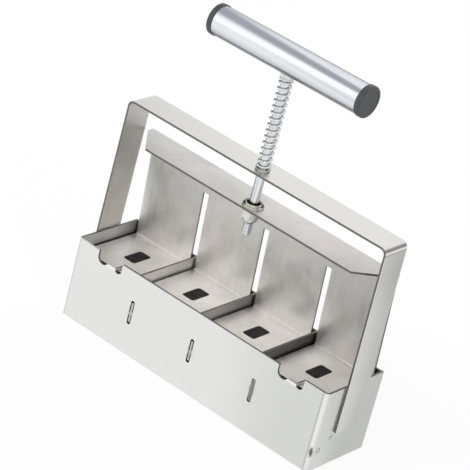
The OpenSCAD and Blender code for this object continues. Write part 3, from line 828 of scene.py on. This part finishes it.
class BuildBail(bpy.types.Operator):
    """Dress the bail strap and its guide bush"""
    bl_idname = "soil_blocker.bail"
    bl_label = "Bail and bush"

    def execute(self, context):
        s = context.scene.blocker_sheet
        strap = metal("Bail strap steel", s.bail_color, STRAP, [painted_leg_light])
        # the bail's inner faces are a darker copy of the strap steel, painted shade, lighter downwards away from the
        # bail's top
        inner = metal("Bail inner face", shaded(s.bail_color, 0.8), STRAP_INNER,
                      [fade("Z", 138 * MM, 75 * MM, 1.32)], tint=((0.55, 0.51, 0.475), 0.5))
        mesh = sheet_copy("bail_handle_dressed", "bail_handle", s.edge_round, SHEET)
        for polygon in mesh.polygons:
            normal = polygon.normal
            inward = normal.z < -0.5 or (abs(normal.x) > 0.5 and normal.x * polygon.center.x < 0)
            if polygon.material_index == 0 and inward:
                polygon.material_index = 2
        add_piece(mesh, "mould", [strap, sheared_edge(), inner], ["bail_handle"], flat=True)
        low, high = node_box("bail_bush")
        middle = node_middle("bail_bush")
        bore, sleeve = node_size("plunger_rod").x / 2 + 0.05 * MM, 4 * MM
        flange = node_size("bail_bush").x / 2
        seat = node_box("bail_handle")[1].z
        neck, lip = 0.82 * flange, 0.4 * (high.z - seat)
        profile = rounded_profile([
            (bore, low.z, 0.15 * MM), (sleeve, low.z, 0.25 * MM), (sleeve, seat, 0), (neck, seat, 0.1 * MM),
            (neck, high.z - lip, 0.1 * MM), (flange, high.z - 0.85 * lip, 0.15 * MM), (flange, high.z, 0.3 * lip),
            (bore, high.z, 0.3 * MM)])
        bush = turned_mesh("bail_bush_turned", profile, (middle.x, middle.y, 0))
        add_piece(bush, "mould", [turned_steel()], ["bail_bush"])
        return {"FINISHED"}


class BuildPress(bpy.types.Operator):
    """Dress the press sheet with its plates, slotted web and flange"""
    bl_idname = "soil_blocker.press"
    bl_label = "Press sheet"

    def execute(self, context):
        s = context.scene.blocker_sheet
        steel = press_steel()
        mesh = sheet_copy("press_sheet_dressed", "press_sheet", s.edge_round, SHEET)
        add_piece(mesh, "plunger", [steel, sheared_edge()], ["press_sheet"], flat=True)
        return {"FINISHED"}


class BuildFasteners(bpy.types.Operator):
    """Make the collar on the flange, the flat washer and the lock nut"""
    bl_idname = "soil_blocker.fasteners"
    bl_label = "Collar, washer and nut"

    def execute(self, context):
        s = context.scene.blocker_fasteners
        rod = node_size("plunger_rod").x / 2
        middle = node_middle("upper_collar")
        centre = (middle.x, middle.y, 0)
        collar = self.collar_mesh(rod, centre)
        add_piece(collar, "plunger", [nickel_plating(), black_plastic()], ["upper_collar"])
        low, high = node_box("flat_washer")
        edge = node_size("flat_washer").x / 2
        bore = rod + 0.1 * MM
        profile = rounded_profile([(bore, low.z, 0.1 * MM), (edge, low.z, 0.3 * MM), (edge, high.z, 0.15 * MM),
                                   (bore, high.z, 0.1 * MM)])
        washer = turned_mesh("flat_washer_pressed", profile, centre)
        add_piece(washer, "plunger", [nickel_plating()], ["flat_washer"])
        nut = self.nut_mesh(rod, centre, s)
        add_piece(nut, "plunger", [turned_steel(), black_plastic()], ["lock_nut"])
        return {"FINISHED"}

    def collar_mesh(self, rod, centre):
        """Round collar with a groove round its top and a dark sink round the rod."""
        low, high = node_box("upper_collar")
        edge = node_size("upper_collar").x / 2
        sink, bore = 4.4 * MM, rod + 0.05 * MM
        # inset from the edge, height above the foot and rounding, in mm
        rim = ((0, 0, 0.25), (0, 1.1, 0.35), (0.75, 1.35, 0.15), (0.95, 0.8, 0.05), (1.25, 1.3, 0.1))
        profile = rounded_profile(
            [(bore, low.z, 0)] + [(edge - inset * MM, low.z + rise * MM, soft * MM) for inset, rise, soft in rim]
            + [(edge - 1.2 * MM, high.z, 0.35 * MM), (sink, high.z, 0.25 * MM),
               (sink - 0.15 * MM, high.z - 1.5 * MM, 0), (bore, high.z - 1.7 * MM, 0)])
        mesh = turned_mesh("upper_collar_turned", profile, centre)
        for polygon in mesh.polygons:
            away = Vector((polygon.center.x - centre[0], polygon.center.y - centre[1])).length
            in_sink = away < sink - 0.02 * MM and polygon.center.z > low.z + 0.4 * MM
            polygon.material_index = 1 if in_sink else 0
        return mesh

    def nut_mesh(self, rod, centre, s):
        """Hexagon with chamfered corners above a round locking end with its insert."""
        low, high = node_box("lock_nut")
        flat = node_size("lock_nut").y / 2
        joint = high.z - s.hex_height
        ring, ring_round, mouth, insert_bore = 4.3 * MM, 0.7 * MM, rod + 0.6 * MM, rod + 0.02 * MM
        # each row is (radius, height, cut by the hexagon or not)
        rows = [(rod + 0.5 * MM, high.z, False), (flat * 0.94, high.z, False)]
        rows += [(flat * 0.95 + 0.277 * MM * k, high.z - 0.16 * MM * k, True) for k in range(7)]
        rows += [(flat * 0.97 + 0.173 * MM * k, joint + 0.1 * MM * k, True) for k in range(6, -1, -1)]
        rows += [(ring + 0.25 * MM, joint, False), (ring, joint - 0.25 * MM, False)]
        for k in range(6):
            turn = math.radians(90) * k / 5
            rows.append((ring - ring_round * (1 - math.cos(turn)), low.z + ring_round * (1 - math.sin(turn)), False))
        insert = len(rows) + 1
        rows += [(mouth, low.z, False), (mouth, low.z + 0.3 * MM, False), (insert_bore, low.z + 0.4 * MM, False),
                 (insert_bore, high.z - 0.5 * MM, False)]
        count = 144
        verts, faces = [], []
        for radius, height, cut in rows:
            for step, (cosine, sine) in enumerate(circle(count)):
                wedge = 2 * math.pi * step / count % math.radians(60) - math.radians(30)
                at = min(radius, flat / math.cos(wedge)) if cut else radius
                verts.append((centre[0] + at * cosine, centre[1] + at * sine, height))
        for row in range(len(rows)):
            here, there = row * count, (row + 1) % len(rows) * count
            for step in range(count):
                after = (step + 1) % count
                faces.append((here + step, there + step, there + after, here + after))
        mesh = raw_mesh("lock_nut_formed", verts, faces)
        for index, polygon in enumerate(mesh.polygons):
            polygon.material_index = 1 if index // count == insert else 0
        return finish_mesh(mesh, 28)


class BuildRod(bpy.types.Operator):
    """Make the plunger rod with its threaded lower end, and the collar under the grip"""
    bl_idname = "soil_blocker.rod"
    bl_label = "Rod and rod collar"

    def execute(self, context):
        s = context.scene.blocker_fasteners
        low, high = node_box("plunger_rod")
        middle = node_middle("plunger_rod")
        radius = node_size("plunger_rod").x / 2
        thread_top = node_box("lock_nut")[1].z
        count, rise = 48, s.thread_pitch / 12
        tip_height, tip_inset, groove_half = 0.8 * MM, 0.6 * MM, 0.44
        rings = []
        for row in range(int((thread_top - low.z) / rise) + 1):
            height = low.z + row * rise
            lead = min(1.0, row * rise / tip_height)
            fade_out = min(1.0, (thread_top - height) / s.thread_pitch)
            ring = []
            for step in range(count):
                phase = (height / s.thread_pitch - step / count) % 1.0
                groove = s.thread_depth * max(0.0, 1 - abs(phase - 0.5) / groove_half) * fade_out
                ring.append(radius - groove - (1 - lead) * tip_inset)
            rings.append((height, ring))
        for height in (thread_top + 0.2 * MM, (thread_top + high.z) / 2, high.z):
            rings.append((height, [radius] * count))
        verts = [(middle.x + at * cosine, middle.y + at * sine, height)
                 for height, ring in rings for at, (cosine, sine) in zip(ring, circle(count))]
        zinc = metal("Zinc-plated rod", s.rod_color, ROD, [painted_dark_rim((0.16, 0.17, 0.19), 0.6, 0.9)],
                     edge_tint=(0.25, 0.26, 0.28))
        rod = capped_tube("plunger_rod_threaded", verts, count, 40)
        add_piece(rod, "plunger", [zinc], ["plunger_rod"])
        collar = sheet_copy("rod_collar_rounded", "rod_collar", 0.2 * MM)
        steel = metal("Collar steel", (0.70, 0.72, 0.73), COLLAR)
        add_piece(collar, "plunger", [steel], ["rod_collar"])
        return {"FINISHED"}


class BuildSpring(bpy.types.Operator):
    """Wind the return spring from round wire"""
    bl_idname = "soil_blocker.spring"
    bl_label = "Return spring"

    def execute(self, context):
        s = context.scene.blocker_spring
        low, high = node_box("return_spring")
        middle = node_middle("plunger_rod")
        wire = s.wire / 2
        coil = (high.x - low.x) / 2 - wire
        bottom, top = low.z + wire, high.z - wire
        open_turns = s.turns - 2
        pitch = (top - bottom - 2 * s.closed_pitch) / open_turns

        def height(turn):
            """Height of the wire's middle after a number of turns."""
            closed = min(turn, 1) + max(0, turn - 1 - open_turns)
            return bottom + s.closed_pitch * closed + pitch * max(0, min(turn - 1, open_turns))

        per_turn, sides, end_share = 28, 10, 0.82
        path = []
        for step in range(s.turns * per_turn + 1):
            turn = step / per_turn
            level = height(turn)
            if 0.2 < turn < s.turns - 0.2:    # the change of pitch is eased over part of a turn
                near = (turn - 0.18, turn - 0.09, turn, turn + 0.09, turn + 0.18)
                level = sum(height(min(max(at, 0), s.turns)) for at in near) / len(near)
            angle = 2 * math.pi * turn
            path.append(Vector((middle.x + coil * math.cos(angle), middle.y + coil * math.sin(angle), level)))
        verts = []
        last = len(path) - 1
        for index, point in enumerate(path):
            along = (path[min(index + 1, last)] - path[max(index - 1, 0)]).normalized()
            out = Vector((point.x - middle.x, point.y - middle.y, 0)).normalized()
            up = along.cross(out).normalized()
            out = up.cross(along).normalized()
            size = wire * (end_share if index in (0, last) else 1)
            verts += [point + size * (cosine * out + sine * up) for cosine, sine in circle(sides)]
        steel = metal("Spring wire", s.wire_color, WIRE, [painted_dark_rim((0.14, 0.14, 0.15), 0.45, 0.85)],
                      edge_tint=(0.3, 0.3, 0.31))
        spring = capped_tube("return_spring_wound", verts, sides, 60)
        piece = add_piece(spring, "mould", [steel], ["return_spring"])
        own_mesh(piece)
        return {"FINISHED"}


class BuildGrip(bpy.types.Operator):
    """Make the polished grip tube and its two plastic caps"""
    bl_idname = "soil_blocker.grip"
    bl_label = "Grip tube and caps"

    def execute(self, context):
        s = context.scene.blocker_grip
        tube_low, tube_high = node_box("grip_tube")
        lower_shade = fade("Z", node_middle("grip_tube").z + 0.5 * MM, tube_low.z + 3.5 * MM, 0.66)
        tube = metal("Polished grip tube", s.tube_color, TUBE, [lower_shade, painted_dark_rim((0.5, 0.51, 0.53), 0.88, 0.98)],
                     edge_tint=(0.42, 0.43, 0.45))
        mesh = sheet_copy("grip_tube_polished", "grip_tube", 0.15 * MM)
        add_piece(mesh, "plunger", [tube], ["grip_tube"], flat=True)
        cap = plastic("Grey cap plastic", s.cap_color, (0.34, 0.48))
        for side, node in ((-1, "grip_cap_left"), (1, "grip_cap_right")):
            low, high = node_box(node)
            middle = node_middle(node)
            # places along the tube, measured outwards from the object's middle
            seat = side * (tube_low if side < 0 else tube_high).x
            face, inner = (side * high.x, side * low.x) if side > 0 else (side * low.x, side * high.x)
            edge = (high.z - low.z) / 2
            plug = node_size("grip_tube").z / 2 - s.tube_wall - 0.1 * MM
            plug_bore, dish, dish_in = plug - 1.5 * MM, 0.22 * MM, 2.2 * MM
            profile = rounded_profile([
                (0, seat, 0), (plug_bore, seat, 0), (plug_bore, inner, 0.3 * MM), (plug, inner, 0.4 * MM),
                (plug, seat, 0), (edge, seat, 0.3 * MM), (edge, face, s.cap_round), (edge - dish_in, face, 0.3 * MM),
                (edge - dish_in - 0.4 * MM, face - dish, 0.3 * MM), (0, face - dish, 0)], 5)
            mesh = turned_mesh(node + "_moulded", profile, segments=112)
            turn = Matrix.Rotation(math.radians(90 * side), 4, "Y")
            mesh.transform(Matrix.Translation(Vector((0, middle.y, middle.z))) @ turn)
            add_piece(mesh, "plunger", [cap], [node])
        return {"FINISHED"}


class BuildPegs(bpy.types.Operator):
    """Dress the four seed pegs"""
    bl_idname = "soil_blocker.pegs"
    bl_label = "Seed pegs"

    def execute(self, context):
        for index in range(1, 5):
            node = f"seed_peg_{index}"
            mesh = sheet_copy(node + "_moulded", node, 0.25 * MM, segments=3)
            add_piece(mesh, "plunger", [black_plastic()], [node], flat=True)
        return {"FINISHED"}


class BuildStage(bpy.types.Operator):
    """Lay the pale floor and set the lamps, the room light and the camera"""
    bl_idname = "soil_blocker.stage"
    bl_label = "Stage, light and camera"

    def execute(self, context):
        s = context.scene.blocker_stage
        self.floor(s)
        self.room(s)
        # cards that lie on the floor start at the box's corner; those on the right reach far back
        side, front, reach, back = 0.1067, -0.0288, 1.1, 3.0
        right = ((side, front), (reach, -0.1), (reach, back), (side, back))
        ahead = ((0.01, front), (side, front), (0.28, -1.72), (-1.13, -1.72))
        over = ((-0.75, -0.55), (0.25, -0.55), (0.25, 0.6), (-0.75, 0.6))
        along_box, along_grip = (0.745, -0.5), (1.85, 1)
        overhead = node_middle("grip_tube").z + 0.35
        self.card("pale_card_right", right, 0.0001, (0.80, 0.81, 0.80))
        self.card("grey_card_right", right, 0.0003, (0.62, 0.63, 0.625), along_box, ((0.0925, 0.077),))
        self.card("grey_card_front", ahead, 0.0002, (0.83, 0.84, 0.82), along_box, ((0.028, 0.076),))
        self.card("overhead_flag", over, overhead, tuple(s.strip_color), along_grip,
                  ((-0.941, -0.561), (-0.221, -0.381)))
        for name, place, size, watts in (("key_lamp", (-1.1, -1.6, 2.2), 1.6, 34),
                                         ("fill_lamp", (2.2, -0.9, 1.2), 1.4, 14),
                                         ("back_lamp", (0.3, 2.2, 1.8), 1.6, 18)):
            self.lamp(name, place, size, watts)
        self.camera(context, s)
        return {"FINISHED"}

    def plane(self, name, corners, level, surface):
        """Level four-cornered object and the empty tree of its material, named by surface."""
        mesh = raw_mesh(name, [(x, y, level) for x, y in corners], [(0, 1, 2, 3)])
        plane = bpy.data.objects.new(name, mesh)
        bpy.context.scene.collection.objects.link(plane)
        material = bpy.data.materials.new(surface)
        material.use_nodes = True
        material.node_tree.nodes.clear()
        mesh.materials.append(material)
        return plane, material.node_tree

    def floor(self, s):
        """Floor that shows white, with a faint shadow; under the box it keeps its own shade."""
        half = 4.0
        corners = ((-half, -half), (half, -half), (half, half), (-half, half))
        floor, tree = self.plane("pale_floor", corners, -0.4 * MM, "Pale floor")
        rays = put(tree, "LightPath")
        mirrored = math_node(tree, "MAXIMUM", rays["Is Camera Ray"], rays["Is Glossy Ray"])
        seen = math_node(tree, "MAXIMUM", mirrored, rays["Is Transmission Ray"])
        high = node_box("mould_wrap")[1]
        axes = object_axes(tree)
        past = [math_node(tree, "GREATER_THAN", math_node(tree, "ABSOLUTE", axes[axis]), edge - 0.5 * MM)
                for axis, edge in (("X", high.x), ("Y", high.y))]
        share = times(tree, seen, 1 - s.shadow_share, math_node(tree, "MAXIMUM", *past))
        matt = put(tree, "BsdfDiffuse", {"Color": tuple(s.floor_color)})[0]
        glow = put(tree, "Emission", {"Color": WHITE})[0]
        put(tree, "OutputMaterial", {"Surface": mixed_shader(tree, share, matt, glow)})

    def card(self, name, corners, level, tone, along=(0, 0), bands=()):
        """Grey card that shows only in reflections; the bands soften its edges along one direction."""
        card, tree = self.plane(name, corners, level, name)
        seen = put(tree, "Emission", {"Color": tone})[0]
        if bands:
            axes = object_axes(tree)
            place = math_node(tree, "ADD", times(tree, axes["X"], along[0]), times(tree, axes["Y"], along[1]))
            share = times(tree, *[spread(tree, place, *band) for band in bands])
            seen = mixed_shader(tree, share, put(tree, "BsdfTransparent")[0], seen)
        put(tree, "OutputMaterial", {"Surface": seen})
        card.visible_camera = False
        card.visible_diffuse = False
        card.visible_shadow = False
        card.visible_transmission = False

    def room(self, s):
        """Even room light; reflections see a brighter band in front, and the camera sees white."""
        world = bpy.data.worlds.new("Studio room")
        bpy.context.scene.world = world
        world.use_nodes = True
        tree = world.node_tree
        tree.nodes.clear()
        rays = put(tree, "LightPath")
        axes = put(tree, "SeparateXYZ", {0: put(tree, "TexCoord")["Generated"]})
        angle = math_node(tree, "ARCTAN2", axes["Z"], axes["Y"])
        front = times(tree, spread(tree, angle, math.radians(130), math.radians(146)),
                      spread(tree, angle, math.radians(168), math.radians(179), 1.0, 0.0))
        plain = put(tree, "Background", {"Color": WHITE, "Strength": s.room_level})[0]
        glossy = put(tree, "Background", {"Color": mixed_color(tree, front, WHITE, (1.22, 1.22, 1.22))})[0]
        white = put(tree, "Background", {"Color": WHITE})[0]
        mirrored = math_node(tree, "MAXIMUM", rays["Is Glossy Ray"], rays["Is Transmission Ray"])
        lit = mixed_shader(tree, mirrored, plain, glossy)
        put(tree, "OutputWorld", {"Surface": mixed_shader(tree, rays["Is Camera Ray"], lit, white)})

    def lamp(self, name, place, size, watts):
        """Round lamp that points at the object and doesn't show in reflections."""
        data = bpy.data.lights.new(name, "AREA")
        data.shape = "DISK"
        data.size = size
        data.energy = watts
        lamp = bpy.data.objects.new(name, data)
        bpy.context.scene.collection.objects.link(lamp)
        lamp.location = place
        target = Vector((0, 0, 0.11))
        lamp.rotation_euler = (target - Vector(place)).to_track_quat("-Z", "Y").to_euler()
        lamp.visible_glossy = False

    def camera(self, context, s):
        """Camera fitted to the photo."""
        data = bpy.data.cameras.new("photo_camera")
        data.lens = s.lens
        data.sensor_width = 36
        data.clip_end = 20
        camera = bpy.data.objects.new("photo_camera", data)
        context.scene.collection.objects.link(camera)
        right = Vector((0.73962, 0.63297, 0.22871))
        down = Vector((0.44974, -0.21202, -0.86763))
        ahead = Vector((-0.50069, 0.74458, -0.44149))
        turn = Matrix((right, -down, -ahead)).transposed().to_4x4()
        camera.matrix_world = Matrix.Translation((0.809029, -1.215756, 0.822725)) @ turn
        context.scene.camera = camera
        context.scene.view_settings.view_transform = "Standard"


class SoilBlockerPanel(bpy.types.Panel):
    """Lists the pieces of the soil blocker and their settings"""
    bl_label = "Soil Blocker"
    bl_idname = "VIEW3D_PT_soil_blocker"
    bl_space_type = "VIEW_3D"
    bl_region_type = "UI"
    bl_category = "Soil Blocker"

    def draw(self, context):
        for operator in OPERATORS:
            self.layout.operator(operator.bl_idname)
        for setting, _ in SETTINGS:
            group = getattr(context.scene, setting)
            box = self.layout.box()
            for name in group.bl_rna.properties.keys():
                if name not in ("rna_type", "name"):
                    box.prop(group, name)


SETTINGS = (("blocker_sheet", SheetSettings), ("blocker_welds", WeldSettings), ("blocker_fasteners", FastenerSettings),
            ("blocker_spring", SpringSettings), ("blocker_grip", GripSettings), ("blocker_stage", StageSettings))
OPERATORS = (BuildMould, BuildDividers, BuildWelds, BuildBail, BuildPress, BuildFasteners, BuildRod, BuildSpring,
             BuildGrip, BuildPegs, BuildStage)


def register():
    for name, group in SETTINGS:
        bpy.utils.register_class(group)
        setattr(bpy.types.Scene, name, PointerProperty(type=group))
    for item in OPERATORS + (SoilBlockerPanel,):
        bpy.utils.register_class(item)


def unregister():
    for item in reversed(OPERATORS + (SoilBlockerPanel,)):
        bpy.utils.unregister_class(item)
    for name, group in reversed(SETTINGS):
        delattr(bpy.types.Scene, name)
        bpy.utils.unregister_class(group)


def main():
    register()
    bpy.ops.soil_blocker.mould()
    bpy.ops.soil_blocker.dividers()
    bpy.ops.soil_blocker.welds()
    bpy.ops.soil_blocker.bail()
    bpy.ops.soil_blocker.press()
    bpy.ops.soil_blocker.fasteners()
    bpy.ops.soil_blocker.rod()
    bpy.ops.soil_blocker.spring()
    bpy.ops.soil_blocker.grip()
    bpy.ops.soil_blocker.pegs()
    bpy.ops.soil_blocker.stage()


if __name__ == "__main__":
    main()
